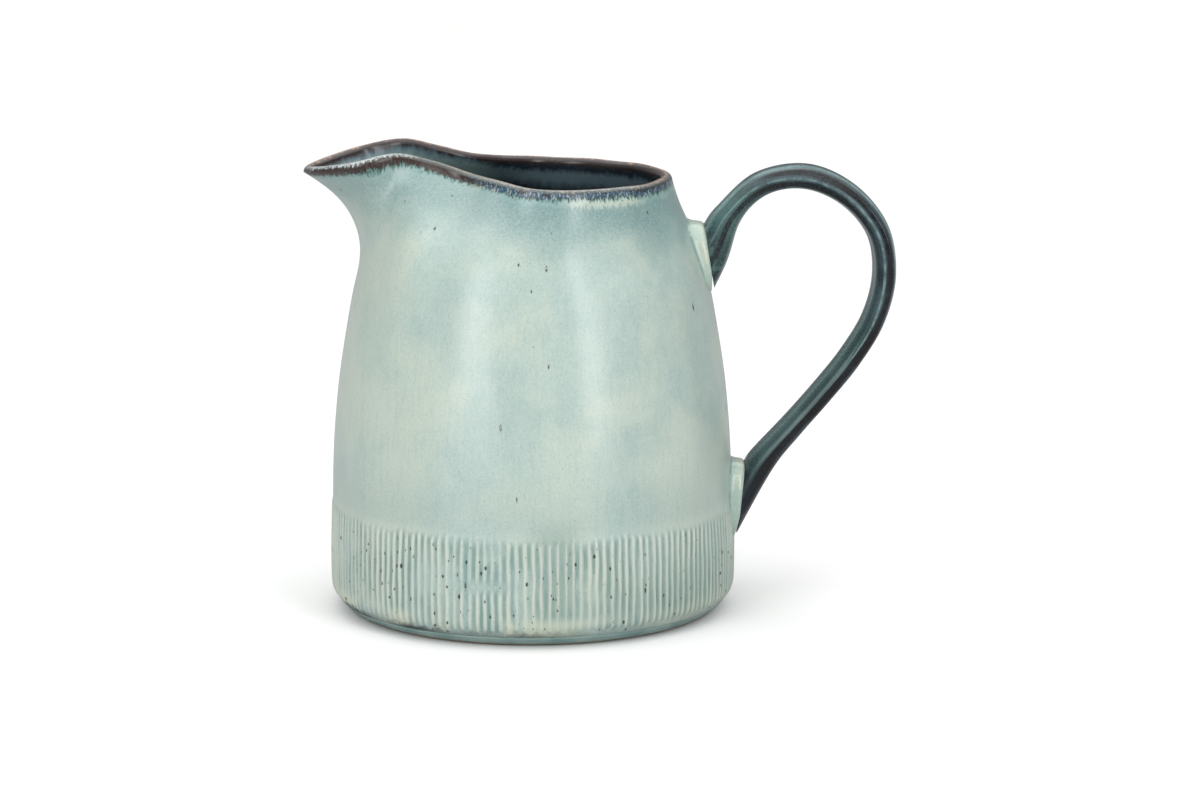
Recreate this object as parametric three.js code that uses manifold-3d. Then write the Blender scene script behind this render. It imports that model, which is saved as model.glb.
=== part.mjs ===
// A stoneware jug: a round wall drawn out into a pouring lip, a ribbed band round its
// foot, a flat base disc, and an ear-shaped handle luted on to two clay pads.
//
// Millimetres, +Z up. The origin is the middle of the flat underside, on the axis of the
// round body. The lip pours towards -X and the handle stands out towards +X, so the jug
// is the same on both sides of the XZ plane.

import * as THREE from 'three';
import { mergeVertices } from 'three/addons/utils/BufferGeometryUtils.js';
import Module from 'manifold-3d';

// ---- Driving dimensions -------------------------------------------------------------

// Body
const BODY_RADIUS = 70; // widest, in the ribbed band
const CREST_RADIUS = 46.4; // axis to the middle of the lip, round the bowl of the mouth
const LIP_HEIGHT = 151.4; // crest of the lip on the handle side
const WALL = 5; // wall of the body
const LIP_THICKNESS = 4.2; // wall at the lip, rounded over
const ROUND_BELOW_LIP = 35.4; // the wall is truly round from this far under the lip down

// Base disc
const FOOT_INSET = 9; // edge of the flat underside, in from the body's widest
const BASE_EDGE_INSET = 2.9; // top of the disc's edge, in from the body's widest
const BASE_EDGE_SWELL = 0.55; // how soon that edge rounds outwards: 1 is a plain slope
const BASE_RIM_THICKNESS = 3.5; // underside to the seat of the wall
const FLOOR_HEIGHT = 6.5; // underside to the floor inside

// Pouring lip
const SPOUT_REACH = 76.4; // axis to the crest of the tip
const SPOUT_TIP_RISE = 3; // tip above the crest on the handle side
const SPOUT_PEAK_RISE = 9.6; // the lip's sides above it, before they fall to the tip
const THROAT_HALF_WIDTH = 21.2; // where the lip is pinched in
const FLARE_HALF_WIDTH = 22.6; // where it opens again
const SPOUT_SWELL = 2.3; // how late the wall leaves the round on its way up

// Handle pads: heights are under the lip for the upper one and over the underside for the
// lower one, and a stand-off is how far the flat face is from the wall at that end.
const PAD_WIDTH = 24;
const PAD_ROUND = 10.5; // corner radius of a pad's outline
const PAD_EDGE = 0.9; // rounded edge of a pad's face
const UPPER_PAD_TOP_DEPTH = 16.4;
const UPPER_PAD_BOTTOM_DEPTH = 40.5;
const LOWER_PAD_TOP_HEIGHT = 51.8;
const LOWER_PAD_BOTTOM_HEIGHT = 24;
const UPPER_PAD_TOP_STANDOFF = 5.6;
const LOWER_PAD_TOP_STANDOFF = 5.1;
const PAD_BOTTOM_STANDOFF = 1.3;

// Handle
const HANDLE_REACH = 56.5; // from the line between its roots to the middle of the bow
const HANDLE_RISE = 27.9; // from the middle of its upper root to the top of the bow
const STRAP_THICKNESS = 8;
const STRAP_WIDTH = 19.5;
const ROOT_WIDTH = 21; // at both ends
const STRAP_SQUARENESS = 2.6; // of its section, where 2 is an ellipse
const UPPER_ROOT_LENGTH = 22.4; // height of the end face on the upper pad
const LOWER_ROOT_LENGTH = 25.4;

// Clearance between pieces that are luted together
const GAP = 0.3;

// Facets
const SIDES = 72;
const SPOUT_ROWS = 9;
const HANDLE_STEPS = 44;
const STRAP_SIDES = 16;

const DEG = Math.PI / 180;
const lerp = THREE.MathUtils.lerp;

// ---- The wall's profile -------------------------------------------------------------

// Height and inward taper of the wall, as shares of the whole, from its seat to its top.
const WALL_STATIONS = [
  [0.0, 0.121],
  [0.012, 0.066],
  [0.029, 0.016],
  [0.06, 0.001],
  [0.13, 0.0],
  [0.24, 0.022],
  [0.386, 0.055],
  [0.523, 0.135],
  [0.647, 0.262],
  [0.764, 0.42],
  [0.867, 0.652],
  [0.949, 0.893],
  [1.0, 1.0],
];
const SEAT_HEIGHT = BASE_RIM_THICKNESS + GAP;
const SPOUT_ROOT_HEIGHT = LIP_HEIGHT - ROUND_BELOW_LIP;
const WALL_TOP = LIP_HEIGHT - LIP_THICKNESS / 2;
const OUTER_TOP_RADIUS = CREST_RADIUS + LIP_THICKNESS / 2;

const profile = new THREE.SplineCurve(
  WALL_STATIONS.map(([rise, taper]) => new THREE.Vector2(
    lerp(BODY_RADIUS, OUTER_TOP_RADIUS, taper),
    lerp(SEAT_HEIGHT, WALL_TOP, rise),
  )),
);

// The outer radius of the round wall at a height, by halving along the profile.
function wallRadius(height) {
  let low = 0;
  let high = 1;
  for (let i = 0; i < 40; i += 1) {
    const middle = (low + high) / 2;
    if (profile.getPoint(middle).y < height) low = middle;
    else high = middle;
  }
  return profile.getPoint(low).x;
}

// ---- The lip's crest ----------------------------------------------------------------

// The crest is drawn through one guide point for every 15 degrees of the wall below it.
const GUIDE_STEP = 15;
const BOWL_GUIDES = 6; // 0 to 75 degrees from the handle, on a circle

// From 90 to 150 degrees: each point's share of the spout's reach, how much of the
// bowl's width it keeps above the throat's, and its share of the rise to the peak.
const SPOUT_GUIDES = [
  { along: 0.01, spread: 0.895, rise: 0.09 },
  { along: 0.15, spread: 0.56, rise: 0.25 },
  { along: 0.288, spread: 0.14, rise: 0.44 },
  { along: 0.436, spread: 0.015, rise: 0.77 },
  { along: 0.596, spread: 0, rise: 1 },
];

// At 165 degrees, where the lip is flared: its share of the reach, and of the peak's
// height above the tip.
const FLARE_GUIDE = { along: 0.79, rise: 0.58 };

const SPOUT_PEAK_HEIGHT = LIP_HEIGHT + SPOUT_PEAK_RISE;
const SPOUT_TIP_HEIGHT = LIP_HEIGHT + SPOUT_TIP_RISE;

function crestGuidePoints() {
  const half = Array.from({ length: BOWL_GUIDES }, (_, i) => new THREE.Vector3(
    CREST_RADIUS * Math.cos(i * GUIDE_STEP * DEG),
    CREST_RADIUS * Math.sin(i * GUIDE_STEP * DEG),
    LIP_HEIGHT,
  ));
  for (const { along, spread, rise } of SPOUT_GUIDES) {
    half.push(new THREE.Vector3(
      -SPOUT_REACH * along,
      lerp(THROAT_HALF_WIDTH, CREST_RADIUS, spread),
      lerp(LIP_HEIGHT, SPOUT_PEAK_HEIGHT, rise),
    ));
  }
  half.push(new THREE.Vector3(
    -SPOUT_REACH * FLARE_GUIDE.along,
    FLARE_HALF_WIDTH,
    lerp(SPOUT_TIP_HEIGHT, SPOUT_PEAK_HEIGHT, FLARE_GUIDE.rise),
  ));
  const tip = new THREE.Vector3(-SPOUT_REACH, 0, SPOUT_TIP_HEIGHT);
  const mirrored = half.slice(1).reverse().map((p) => new THREE.Vector3(p.x, -p.y, p.z));
  return [...half, tip, ...mirrored];
}

// The guides are evenly spread round the wall, so a turn is also a share of the curve.
const crest = new THREE.CatmullRomCurve3(crestGuidePoints(), true, 'catmullrom', 0.5);

// The crest at a turn round the bowl, and the level direction that points out of the jug.
function crestAt(turn) {
  const step = 0.002;
  const point = crest.getPoint(turn);
  const ahead = crest.getPoint((turn + step) % 1);
  const behind = crest.getPoint((turn - step + 1) % 1);
  const outward = new THREE.Vector3(ahead.y - behind.y, behind.x - ahead.x, 0).normalize();
  return { point, outward };
}

// ---- The body -----------------------------------------------------------------------

// A point on the wall: turn is 0 to 1 from the handle, level is a height on the round
// profile, and depth is 0 on the outer face and 1 on the inner one.
function wallPoint(turn, level, depth) {
  const angle = turn * 2 * Math.PI;
  const rise = Math.max(0, (level - SPOUT_ROOT_HEIGHT) / (WALL_TOP - SPOUT_ROOT_HEIGHT));
  const thickness = lerp(WALL, LIP_THICKNESS, rise);
  const radius = wallRadius(level) - depth * thickness;
  const topRadius = OUTER_TOP_RADIUS - depth * LIP_THICKNESS;
  const { point, outward } = crestAt(turn);
  const side = LIP_THICKNESS * (0.5 - depth);
  const pull = rise ** SPOUT_SWELL;
  const shiftX = point.x + side * outward.x - topRadius * Math.cos(angle);
  const shiftY = point.y + side * outward.y - topRadius * Math.sin(angle);
  return new THREE.Vector3(
    radius * Math.cos(angle) + shiftX * pull,
    radius * Math.sin(angle) + shiftY * pull,
    level + (point.z - LIP_HEIGHT) * rise,
  );
}

// The rounded lip: roll is 0 at its outer edge, a half turn later it is at its inner one.
function lipPoint(turn, roll) {
  const { point, outward } = crestAt(turn);
  const radius = LIP_THICKNESS / 2;
  const centre = point.clone().setZ(point.z - radius);
  centre.addScaledVector(outward, radius * Math.cos(roll));
  centre.z += radius * Math.sin(roll);
  return centre;
}

// Rows of points, each a ring of the same count, joined into one closed skin. The last
// row joins the first when the skin closes on itself, and is capped when it doesn't.
function skin(rows, closesOnItself) {
  const count = rows[0].length;
  const positions = rows.flat().flatMap((p) => [p.x, p.y, p.z]);
  const index = [];
  const pairs = closesOnItself ? rows.length : rows.length - 1;
  for (let row = 0; row < pairs; row += 1) {
    const next = (row + 1) % rows.length;
    for (let i = 0; i < count; i += 1) {
      const j = (i + 1) % count;
      const [a, b] = [row * count + i, row * count + j];
      const [c, d] = [next * count + i, next * count + j];
      index.push(a, b, d, a, d, c);
    }
  }
  if (!closesOnItself) {
    for (const [row, turned] of [[0, true], [rows.length - 1, false]]) {
      const middle = positions.length / 3;
      const sum = rows[row].reduce((s, p) => s.add(p), new THREE.Vector3());
      sum.divideScalar(count);
      positions.push(sum.x, sum.y, sum.z);
      for (let i = 0; i < count; i += 1) {
        const [a, b] = [row * count + i, row * count + ((i + 1) % count)];
        if (turned) index.push(middle, b, a);
        else index.push(middle, a, b);
      }
    }
  }
  const geometry = new THREE.BufferGeometry();
  geometry.setAttribute('position', new THREE.Float32BufferAttribute(positions, 3));
  geometry.setIndex(index);
  return geometry;
}

const BELLY_LEVELS = [0, 0.014, 0.035, 0.075, 0.18, 0.32, 0.47, 0.62, 0.74, 0.84, 0.93, 1]
  .map((share) => lerp(SEAT_HEIGHT, SPOUT_ROOT_HEIGHT, share));

function bodyGeometry() {
  const ring = (pointAt) => Array.from({ length: SIDES }, (_, i) => pointAt(i / SIDES));
  const spoutLevels = Array.from(
    { length: SPOUT_ROWS },
    (_, i) => lerp(SPOUT_ROOT_HEIGHT, WALL_TOP, (i + 1) / SPOUT_ROWS),
  );
  const levels = [...BELLY_LEVELS, ...spoutLevels];
  const outer = levels.map((level) => ring((turn) => wallPoint(turn, level, 0)));
  const lip = [45, 90, 135].map((roll) => ring((turn) => lipPoint(turn, roll * DEG)));
  const inner = [...levels].reverse().map((level) => ring((turn) => wallPoint(turn, level, 1)));
  return skin([...outer, ...lip, ...inner], true);
}

// ---- The base disc ------------------------------------------------------------------

// The rounded underside edge swells out to the foot of the wall, which carries it on, and
// the floor stands inside the wall.
function baseGeometry() {
  const edgeSteps = 5;
  const footRadius = BODY_RADIUS - FOOT_INSET;
  const edgeRadius = BODY_RADIUS - BASE_EDGE_INSET;
  const outline = [new THREE.Vector2(0, 0), new THREE.Vector2(footRadius, 0)];
  for (let i = 1; i <= edgeSteps; i += 1) {
    const rise = (i / edgeSteps) ** 2;
    outline.push(new THREE.Vector2(
      lerp(footRadius, edgeRadius, rise ** BASE_EDGE_SWELL),
      BASE_RIM_THICKNESS * rise,
    ));
  }
  const plugRadius = wallRadius(SEAT_HEIGHT) - WALL - GAP;
  outline.push(new THREE.Vector2(plugRadius, BASE_RIM_THICKNESS));
  outline.push(new THREE.Vector2(plugRadius, FLOOR_HEIGHT));
  outline.push(new THREE.Vector2(0, FLOOR_HEIGHT));
  const geometry = new THREE.LatheGeometry(outline, SIDES);
  geometry.rotateX(Math.PI / 2);
  return geometry;
}

// ---- Booleans -----------------------------------------------------------------------

const wasm = await Module();
wasm.setup();

function toSolid(geometry) {
  const bare = geometry.clone();
  bare.deleteAttribute('normal');
  bare.deleteAttribute('uv');
  const merged = mergeVertices(bare, 1e-4);
  return new wasm.Manifold(new wasm.Mesh({
    numProp: 3,
    vertProperties: merged.attributes.position.array,
    triVerts: new Uint32Array(merged.index.array),
  }));
}

function toGeometry(solid) {
  const mesh = solid.getMesh();
  const geometry = new THREE.BufferGeometry();
  geometry.setAttribute('position', new THREE.BufferAttribute(mesh.vertProperties, 3));
  geometry.setIndex(new THREE.BufferAttribute(mesh.triVerts, 1));
  return geometry;
}

// ---- The handle pads ----------------------------------------------------------------

const UPPER_PAD = {
  top: LIP_HEIGHT - UPPER_PAD_TOP_DEPTH,
  bottom: LIP_HEIGHT - UPPER_PAD_BOTTOM_DEPTH,
  standoff: UPPER_PAD_TOP_STANDOFF,
};
const LOWER_PAD = {
  top: LOWER_PAD_TOP_HEIGHT,
  bottom: LOWER_PAD_BOTTOM_HEIGHT,
  standoff: LOWER_PAD_TOP_STANDOFF,
};

// The flat face of a pad in the XZ plane: its middle, length, directions and tilt.
function padFace({ top, bottom, standoff }) {
  const high = new THREE.Vector2(wallRadius(top) + standoff, top);
  const low = new THREE.Vector2(wallRadius(bottom) + PAD_BOTTOM_STANDOFF, bottom);
  const along = high.clone().sub(low);
  return {
    middle: high.clone().add(low).divideScalar(2),
    length: along.length(),
    direction: along.clone().normalize(),
    outward: new THREE.Vector2(along.y, -along.x).normalize(),
    tilt: Math.atan2(along.x, along.y),
  };
}

// What the pads are hollowed by: the round wall, grown by the clearance.
function wallClearance() {
  const levels = Array.from({ length: 30 }, (_, i) => lerp(SEAT_HEIGHT, WALL_TOP, i / 29));
  const outline = levels.map((z) => new THREE.Vector2(wallRadius(z) + GAP, z));
  outline.unshift(new THREE.Vector2(0, SEAT_HEIGHT));
  outline.push(new THREE.Vector2(0, WALL_TOP));
  const geometry = new THREE.LatheGeometry(outline, SIDES);
  geometry.rotateX(Math.PI / 2);
  return geometry;
}

function padGeometry(pad) {
  const face = padFace(pad);
  const half = { across: PAD_WIDTH / 2 - PAD_EDGE, up: face.length / 2 - PAD_EDGE };
  const outline = new THREE.Shape();
  outline.moveTo(-half.across + PAD_ROUND, -half.up);
  for (const [sx, sy, start] of [[1, -1, -90], [1, 1, 0], [-1, 1, 90], [-1, -1, 180]]) {
    outline.absarc(
      sx * (half.across - PAD_ROUND),
      sy * (half.up - PAD_ROUND),
      PAD_ROUND,
      start * DEG,
      (start + 90) * DEG,
    );
  }
  const depth = PAD_WIDTH; // deep enough to sink into the wall all over
  const slab = new THREE.ExtrudeGeometry(outline, {
    depth,
    bevelThickness: PAD_EDGE,
    bevelSize: PAD_EDGE,
    bevelSegments: 2,
    curveSegments: 4,
  });
  slab.translate(0, 0, -depth - PAD_EDGE);
  // The outline's across, up and face directions become Y, Z and X, then the face tilts.
  slab.applyMatrix4(new THREE.Matrix4().set(0, 0, 1, 0, 1, 0, 0, 0, 0, 1, 0, 0, 0, 0, 0, 1));
  slab.rotateY(face.tilt);
  slab.translate(face.middle.x, 0, face.middle.y);
  return toGeometry(toSolid(slab).subtract(toSolid(wallClearance())));
}

// ---- The handle ---------------------------------------------------------------------

// The end face of the strap on a pad, the clearance away from it.
function rootFace(pad, length) {
  const face = padFace(pad);
  const middle = face.middle.clone().addScaledVector(face.outward, GAP);
  const reach = face.direction.clone().multiplyScalar(length / 2);
  return { middle, high: middle.clone().add(reach), low: middle.clone().sub(reach) };
}

const upperRoot = rootFace(UPPER_PAD, UPPER_ROOT_LENGTH);
const lowerRoot = rootFace(LOWER_PAD, LOWER_ROOT_LENGTH);

// The bow of the strap, at even steps along it: how far down from the upper root to the
// lower one each point belongs, its stand-off and rise from there as shares of the
// handle's reach and rise, the direction its outer side faces in degrees above +X, and
// its thickness as a share of the strap's.
const BOW = [
  { down: 0, off: 0.113, rise: 0.506, side: 142, thick: 1.19 },
  { down: 0, off: 0.314, rise: 0.897, side: 117, thick: 1.05 },
  { down: 0, off: 0.588, rise: 0.99, side: 81, thick: 1.07 },
  { down: 0, off: 0.845, rise: 0.766, side: 54, thick: 1.04 },
  { down: 0.04, off: 1.019, rise: 0.447, side: 25, thick: 1.02 },
  { down: 0.12, off: 1.048, rise: 0.137, side: -3, thick: 1.03 },
  { down: 0.25, off: 0.96, rise: -0.012, side: -22, thick: 1.03 },
  { down: 0.42, off: 0.785, rise: 0.012, side: -33, thick: 1.03 },
  { down: 0.56, off: 0.584, rise: -0.006, side: -40, thick: 1.01 },
  { down: 0.7, off: 0.375, rise: -0.005, side: -41, thick: 1.02 },
  { down: 0.82, off: 0.171, rise: -0.068, side: -41, thick: 1.2 },
];

// The strap's outer and inner edges in the XZ plane, as one curve each.
function strapRails() {
  const outer = [upperRoot.high];
  const inner = [upperRoot.low];
  for (const { down, off, rise, side, thick } of BOW) {
    const centre = upperRoot.middle.clone().lerp(lowerRoot.middle, down);
    centre.x += HANDLE_REACH * off;
    centre.y += HANDLE_RISE * rise;
    const half = (STRAP_THICKNESS * thick) / 2;
    const across = new THREE.Vector2(Math.cos(side * DEG), Math.sin(side * DEG));
    outer.push(centre.clone().addScaledVector(across, half));
    inner.push(centre.clone().addScaledVector(across, -half));
  }
  outer.push(lowerRoot.low);
  inner.push(lowerRoot.high);
  return [new THREE.SplineCurve(outer), new THREE.SplineCurve(inner)];
}

function handleGeometry() {
  const [outer, inner] = strapRails();
  const bulge = (value) => Math.sign(value) * Math.abs(value) ** (2 / STRAP_SQUARENESS);
  const rows = [];
  for (let step = 0; step <= HANDLE_STEPS; step += 1) {
    const share = step / HANDLE_STEPS;
    const a = outer.getPoint(share);
    const b = inner.getPoint(share);
    const width = lerp(STRAP_WIDTH, ROOT_WIDTH, Math.abs(2 * share - 1) ** 4);
    rows.push(Array.from({ length: STRAP_SIDES }, (_, i) => {
      const turn = (i / STRAP_SIDES) * 2 * Math.PI;
      const across = 0.5 - 0.5 * bulge(Math.cos(turn));
      return new THREE.Vector3(
        lerp(a.x, b.x, across),
        (-width / 2) * bulge(Math.sin(turn)),
        lerp(a.y, b.y, across),
      );
    }));
  }
  return skin(rows, false);
}

// ---- The jug ------------------------------------------------------------------------

function piece(name, geometry, colour, roughness) {
  const material = new THREE.MeshStandardMaterial({ color: colour, roughness, metalness: 0 });
  const mesh = new THREE.Mesh(geometry, material);
  mesh.name = name;
  return mesh;
}

const CELADON = 0xa9bfba;
const PALE_CREAM = 0xc9cfbd;
const DEEP_TEAL = 0x33474f;
const BARE_CLAY = 0x8f867a;

const jug = new THREE.Group();
jug.add(piece('jug_body', bodyGeometry(), CELADON, 0.25));
jug.add(piece('base_disc', baseGeometry(), BARE_CLAY, 0.7));
jug.add(piece('upper_handle_pad', padGeometry(UPPER_PAD), PALE_CREAM, 0.25));
jug.add(piece('lower_handle_pad', padGeometry(LOWER_PAD), PALE_CREAM, 0.25));
jug.add(piece('handle', handleGeometry(), DEEP_TEAL, 0.2));

export default jug;
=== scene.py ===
"""A glazed stoneware jug: the looks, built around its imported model.

The jug is thrown round and drawn out into a pouring lip towards -X. A ribbed band runs round
its foot, a base disc closes it, and a strap handle is luted on to two clay pads towards +X.
Everything is in metres, +Z up, with the origin in the middle of the flat underside.
"""

import math

import bpy
import numpy as np
from bpy.props import FloatProperty, FloatVectorProperty, IntProperty, PointerProperty
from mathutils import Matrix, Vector


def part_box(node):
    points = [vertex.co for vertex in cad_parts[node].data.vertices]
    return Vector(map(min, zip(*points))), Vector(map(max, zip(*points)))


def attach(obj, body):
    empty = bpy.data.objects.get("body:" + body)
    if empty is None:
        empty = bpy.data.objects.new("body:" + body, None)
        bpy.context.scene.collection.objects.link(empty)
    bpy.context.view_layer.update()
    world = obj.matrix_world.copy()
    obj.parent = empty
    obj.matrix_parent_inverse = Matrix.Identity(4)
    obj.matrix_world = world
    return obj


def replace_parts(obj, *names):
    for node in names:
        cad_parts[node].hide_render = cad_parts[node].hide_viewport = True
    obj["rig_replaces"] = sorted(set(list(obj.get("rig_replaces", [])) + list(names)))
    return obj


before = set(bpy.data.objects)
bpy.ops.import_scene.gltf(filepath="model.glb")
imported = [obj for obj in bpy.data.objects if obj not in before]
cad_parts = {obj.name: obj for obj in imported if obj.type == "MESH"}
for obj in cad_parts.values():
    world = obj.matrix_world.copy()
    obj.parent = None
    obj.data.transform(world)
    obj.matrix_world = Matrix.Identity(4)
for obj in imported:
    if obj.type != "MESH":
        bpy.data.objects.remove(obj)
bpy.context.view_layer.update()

bl_info = {
    "name": "Stoneware jug",
    "version": (1, 0, 0),
    "blender": (4, 5, 0),
    "location": "3D View > Sidebar > Jug",
    "description": "Builds a glazed stoneware jug with a ribbed foot and a strap handle",
    "category": "Add Mesh",
}

WALL_LOW, WALL_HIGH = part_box("jug_body")
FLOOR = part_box("base_disc")[1].z
MM = 0.001
TAU = 2 * math.pi
DEG = math.pi / 180


# ---- Sizes and colours that a user may change ------------------------------------------


def length(name, description, default):
    return FloatProperty(name=name, description=description, default=default, unit="LENGTH")


def shade(red, green, blue):
    """A colour given as 0 to 255 on a screen, in the linear numbers that shaders take."""
    return tuple(
        c / 255 / 12.92 if c <= 10 else ((c / 255 + 0.055) / 1.055) ** 2.4
        for c in (red, green, blue)
    )


def colour(name, description, *rgb):
    return FloatVectorProperty(
        name=name, description=description, default=shade(*rgb), subtype="COLOR", min=0, max=1
    )


class JugSizes(bpy.types.PropertyGroup):
    """The jug's sizes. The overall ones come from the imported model."""

    body_radius: length("Body radius", "Widest, in the ribbed band", WALL_HIGH.y)
    crest_radius: length("Mouth radius", "Axis to the crest of the lip", 46.4 * MM)
    peak_rise: length("Peak rise", "Top of the pouring lip above the rest of it", 9.6 * MM)
    lip_height: length("Lip height", "Crest on the handle side", WALL_HIGH.z - 9.6 * MM)
    tip_rise: length("Tip rise", "Tip of the pouring lip above the rest of it", 3 * MM)
    wall: length("Wall", "Thickness of the body", 5 * MM)
    lip_thickness: length("Lip thickness", "Wall at the rounded lip", 4.2 * MM)
    spout_reach: length("Spout reach", "Axis to the crest of the tip", -WALL_LOW.x - 2.1 * MM)
    throat: length("Throat", "Half the width where the lip is pinched in", 21.2 * MM)
    flare: length("Flare", "Half the width where the lip opens again", 22.6 * MM)
    round_below: length("Round below", "The wall is round from this far under the lip", 35.4 * MM)
    seat_height: length("Seat", "Height of the wall's lower edge", WALL_LOW.z)
    facet_depth: length("Facet depth", "Depth of the soft flats left by the hands", 0.42 * MM)
    rib_depth: length("Rib depth", "How far the ribs stand out", 0.6 * MM)
    rib_count: IntProperty(name="Ribs", description="Ribs round the foot", default=162)
    rib_low: length("Rib foot", "Lower end of the ribs", 5.2 * MM)
    rib_high: length("Rib top", "Upper end of the ribs", 38.6 * MM)
    foot_inset: length("Foot inset", "Edge of the flat underside, in from the widest", 9 * MM)
    edge_inset: length("Edge inset", "Top of the base disc's edge, in from the widest", 2.9 * MM)
    rim_thickness: length("Base rim", "Height of the base disc's rounded edge", 3.5 * MM)
    floor_height: length("Floor", "Underside to the floor inside", FLOOR)
    pad_width: length("Pad width", "Width of both handle pads", 24 * MM)
    upper_top: length("Upper pad top", "Its upper edge, under the lip", 16.4 * MM)
    upper_bottom: length("Upper pad bottom", "Its lower edge, under the lip", 40.5 * MM)
    upper_standoff: length("Upper stand-off", "Upper pad's face off the wall", 5.6 * MM)
    upper_root: length("Upper root", "Height of the handle's end on its pad", 22.4 * MM)
    lower_top: length("Lower pad top", "Height of its upper edge", 51.8 * MM)
    lower_bottom: length("Lower pad bottom", "Height of its lower edge", 24 * MM)
    lower_standoff: length("Lower stand-off", "Lower pad's face off the wall", 5.1 * MM)
    lower_root: length("Lower root", "Height of the handle's end on its pad", 25.4 * MM)
    bottom_standoff: length("Bottom stand-off", "Lower edges of the pads' faces", 1.3 * MM)
    strap_width: length("Strap width", "Width of the handle", 19.5 * MM)
    root_width: length("Root width", "Width of the handle at its ends", 21 * MM)
    strap_thickness: length("Strap thickness", "Thickness of the handle", 8 * MM)
    handle_reach: length("Handle reach", "From its roots to the middle of the bow", 56.5 * MM)
    handle_rise: length("Handle rise", "From its upper root to the top of the bow", 27.9 * MM)
    ridge_height: length("Ridge height", "Of the ridge along the handle's sides", 0.45 * MM)


class JugColours(bpy.types.PropertyGroup):
    """The glaze's colours, from where it lies thin to where it pools."""

    celadon: colour("Celadon", "Main glaze", 170, 190, 183)
    cream: colour("Cream", "Where the glaze clouds over", 201, 207, 188)
    # Mist blue also paints a band of shade just above the ribs.
    mist: colour("Mist blue", "Where the glaze thickens", 139, 166, 164)
    haze: colour("Haze blue", "Thickest, under the lip", 98, 136, 138)
    # Groove teal also paints shade: on the handle's side of the foot, in the pads' joints, and up
    # the base disc's rounded edge.
    groove: colour("Groove teal", "Pooled between the ribs", 88, 124, 118)
    ridge: colour("Ridge cream", "Broken over the ribs", 208, 209, 197)
    iron: colour("Iron black", "Specks and pinholes", 14, 22, 27)
    brown: colour("Iron brown", "Thin over the lip", 42, 20, 13)
    amber: colour("Amber", "Thinnest, on the lip's crest", 172, 124, 94)
    lilac: colour("Lilac blue", "Runs under the lip", 64, 98, 120)
    # Drip white also paints the lip's pale crest on the near side, partly as a painted highlight.
    drip: colour("Drip white", "Edge of the runs", 208, 218, 218)
    # Navy also darkens the handle's roots, partly as painted shade.
    navy: colour("Navy", "Pooled inside", 13, 24, 34)
    slate: colour("Slate", "Thinner inside", 88, 108, 116)
    teal: colour("Deep teal", "Handle", 20, 33, 41)
    # Pale teal also paints a reflection along the top of the handle's upper arm.
    teal_pale: colour("Pale teal", "Broken over the handle's edges", 128, 158, 158)
    ink: colour("Ink", "Pooled in the handle's flutes", 12, 8, 12)
    pad: colour("Pad cream", "Handle pads", 186, 197, 178)
    pad_mint: colour("Pad mint", "Thicker on the pads", 162, 186, 176)
    clay: colour("Bare clay", "Underside", 150, 138, 122)
    floor: colour("Floor", "Under the jug", 244, 244, 243)


# ---- Curves and unevenness -------------------------------------------------------------


def smooth(low, high, value):
    """0 below low, 1 above high, and an even curve between."""
    share = np.clip((value - low) / (high - low), 0, 1)
    return share * share * (3 - 2 * share)


def bell(value, middle, width):
    return np.exp(-(((value - middle) / width) ** 2))


def mix(a, b, share):
    return a + (b - a) * share


def through(points, shares, closed=False):
    """Places on a smooth curve through the points, at shares of its way from 0 to 1."""
    points = np.asarray(points, float)
    count = len(points)
    spans = count if closed else count - 1
    place = np.atleast_1d(np.asarray(shares, float)) * spans
    first = np.floor(place).astype(int)
    if not closed:
        first = np.clip(first, 0, spans - 1)
    t = (place - first)[:, None]
    if closed:
        before, start, end, after = (points[(first + k) % count] for k in (-1, 0, 1, 2))
    else:
        before, start, end, after = (
            points[np.clip(first + k, 0, count - 1)] for k in (-1, 0, 1, 2)
        )
    leave, arrive = (end - before) / 2, (after - start) / 2
    return (
        (2 * start - 2 * end + leave + arrive) * t**3
        + (-3 * start + 3 * end - 2 * leave - arrive) * t**2
        + leave * t
        + start
    )


def waves(turn, level, seed, folds, period):
    """Soft unevenness round the jug, about -1 to 1. Folds are how often each wave goes round."""
    random = np.random.default_rng(seed)
    total = 0.0
    for fold in folds:
        lean, phase, strength = random.uniform((-1, 0, 0.6), (1, TAU, 1.0))
        total = total + strength * np.sin(TAU * (fold * turn + lean * level / period) + phase)
    return total / math.sqrt(len(folds))


# ---- Meshes ----------------------------------------------------------------------------


def new_piece(name, points, faces, marks, material, nodes):
    """A smooth mesh object that rides on the jug and stands for CAD nodes."""
    mesh = bpy.data.meshes.new(name)
    mesh.from_pydata(points.tolist(), [], faces)
    mesh.polygons.foreach_set("use_smooth", [True] * len(mesh.polygons))
    for mark, values in marks.items():
        mesh.attributes.new(mark, "FLOAT", "POINT").data.foreach_set(
            "value", np.asarray(values, np.float32).ravel()
        )
    mesh.materials.append(material)
    mesh.validate()
    mesh.update()
    piece = bpy.data.objects.new(name, mesh)
    bpy.context.scene.collection.objects.link(piece)
    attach(piece, "root")
    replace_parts(piece, *nodes)
    return piece


def skin(rows, closes_on_itself):
    """Points and faces of rows of points, each a ring. An open skin is capped at both ends."""
    count_rows, count, _ = rows.shape
    pairs = count_rows if closes_on_itself else count_rows - 1
    near = np.arange(pairs)[:, None] * count
    far = (np.arange(pairs)[:, None] + 1) % count_rows * count
    i = np.arange(count)[None, :]
    j = (i + 1) % count
    faces = np.stack([near + i, near + j, far + j, far + i], axis=2).reshape(-1, 4).tolist()
    points = rows.reshape(-1, 3)
    if not closes_on_itself:
        last = (count_rows - 1) * count
        points = np.vstack([points, rows[0].mean(0), rows[-1].mean(0)])
        low, high = len(points) - 2, len(points) - 1
        for k in range(count):
            after = (k + 1) % count
            faces.append([low, after, k])
            faces.append([high, last + k, last + after])
    return points, faces


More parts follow.
